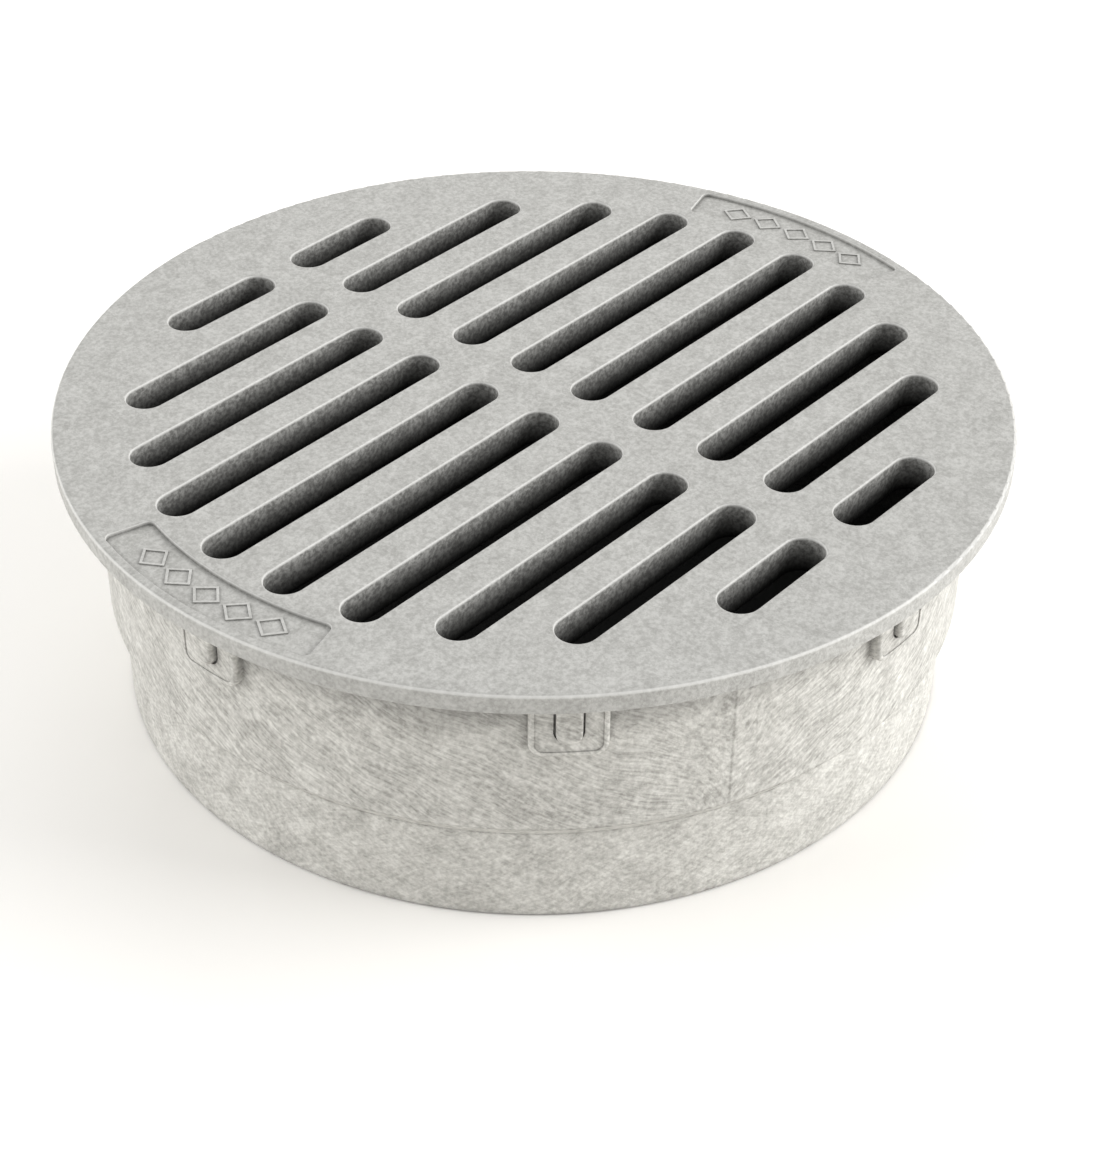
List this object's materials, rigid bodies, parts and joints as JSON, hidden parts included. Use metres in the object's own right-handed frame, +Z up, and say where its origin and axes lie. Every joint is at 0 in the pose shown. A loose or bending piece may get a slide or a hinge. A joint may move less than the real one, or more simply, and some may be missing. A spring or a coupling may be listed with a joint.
{
  "type": "manhole cover",
  "caption": "Round slotted drain cover whose grate sits in a short pipe collar, lifts straight out and is held by springy tongues in open-topped keepers.",
  "frame": {"origin": "centre of the collar's bottom face, on the axis", "axes": "+Z up along the cover's axis, towards the grate's top face; the slots run along X and the label panels are at the two X ends"},
  "size_m": [0.226, 0.226, 0.0726],
  "materials": {
    "collar_plastic": "matt, streaked recycled polyolefin",
    "grate_plastic": "matt, fine grained recycled polyolefin",
    "tongue_plastic": "matt, fine grained recycled polyolefin"
  },
  "bodies": {
    "collar": {"collar": "collar_plastic"},
    "grate": {"grate": "grate_plastic"},
    "locking_tongue_1": {"locking_tongue_1": "tongue_plastic"},
    "locking_tongue_2": {"locking_tongue_2": "tongue_plastic"},
    "locking_tongue_3": {"locking_tongue_3": "tongue_plastic"},
    "locking_tongue_4": {"locking_tongue_4": "tongue_plastic"},
    "locking_tongue_5": {"locking_tongue_5": "tongue_plastic"},
    "locking_tongue_6": {"locking_tongue_6": "tongue_plastic"},
    "locking_tongue_7": {"locking_tongue_7": "tongue_plastic"},
    "locking_tongue_8": {"locking_tongue_8": "tongue_plastic"}
  },
  "joints": [
    {"name": "grate_lift", "type": "slide", "parent": "collar", "child": "grate", "axis": [0, 0, 1], "range_m": [0, 0.06]},
    {"name": "tongue_1_flex", "type": "hinge", "parent": "grate", "child": "locking_tongue_1", "pos_m": [0.1066, 0, 0.0678], "axis": [0, -1, 0], "range_deg": [0, 8], "stiffness_Nm_per_rad": 0.4},
    {"name": "tongue_2_flex", "type": "hinge", "parent": "grate", "child": "locking_tongue_2", "pos_m": [0.07538, 0.07538, 0.0678], "axis": [0.7071, -0.7071, 0], "range_deg": [0, 8], "stiffness_Nm_per_rad": 0.4},
    {"name": "tongue_3_flex", "type": "hinge", "parent": "grate", "child": "locking_tongue_3", "pos_m": [0, 0.1066, 0.0678], "axis": [1, 0, 0], "range_deg": [0, 8], "stiffness_Nm_per_rad": 0.4},
    {"name": "tongue_4_flex", "type": "hinge", "parent": "grate", "child": "locking_tongue_4", "pos_m": [-0.07538, 0.07538, 0.0678], "axis": [0.7071, 0.7071, 0], "range_deg": [0, 8], "stiffness_Nm_per_rad": 0.4},
    {"name": "tongue_5_flex", "type": "hinge", "parent": "grate", "child": "locking_tongue_5", "pos_m": [-0.1066, 0, 0.0678], "axis": [0, 1, 0], "range_deg": [0, 8], "stiffness_Nm_per_rad": 0.4},
    {"name": "tongue_6_flex", "type": "hinge", "parent": "grate", "child": "locking_tongue_6", "pos_m": [-0.07538, -0.07538, 0.0678], "axis": [-0.7071, 0.7071, 0], "range_deg": [0, 8], "stiffness_Nm_per_rad": 0.4},
    {"name": "tongue_7_flex", "type": "hinge", "parent": "grate", "child": "locking_tongue_7", "pos_m": [0, -0.1066, 0.0678], "axis": [-1, 0, 0], "range_deg": [0, 8], "stiffness_Nm_per_rad": 0.4},
    {"name": "tongue_8_flex", "type": "hinge", "parent": "grate", "child": "locking_tongue_8", "pos_m": [0.07538, -0.07538, 0.0678], "axis": [-0.7071, -0.7071, 0], "range_deg": [0, 8], "stiffness_Nm_per_rad": 0.4}
  ]
}
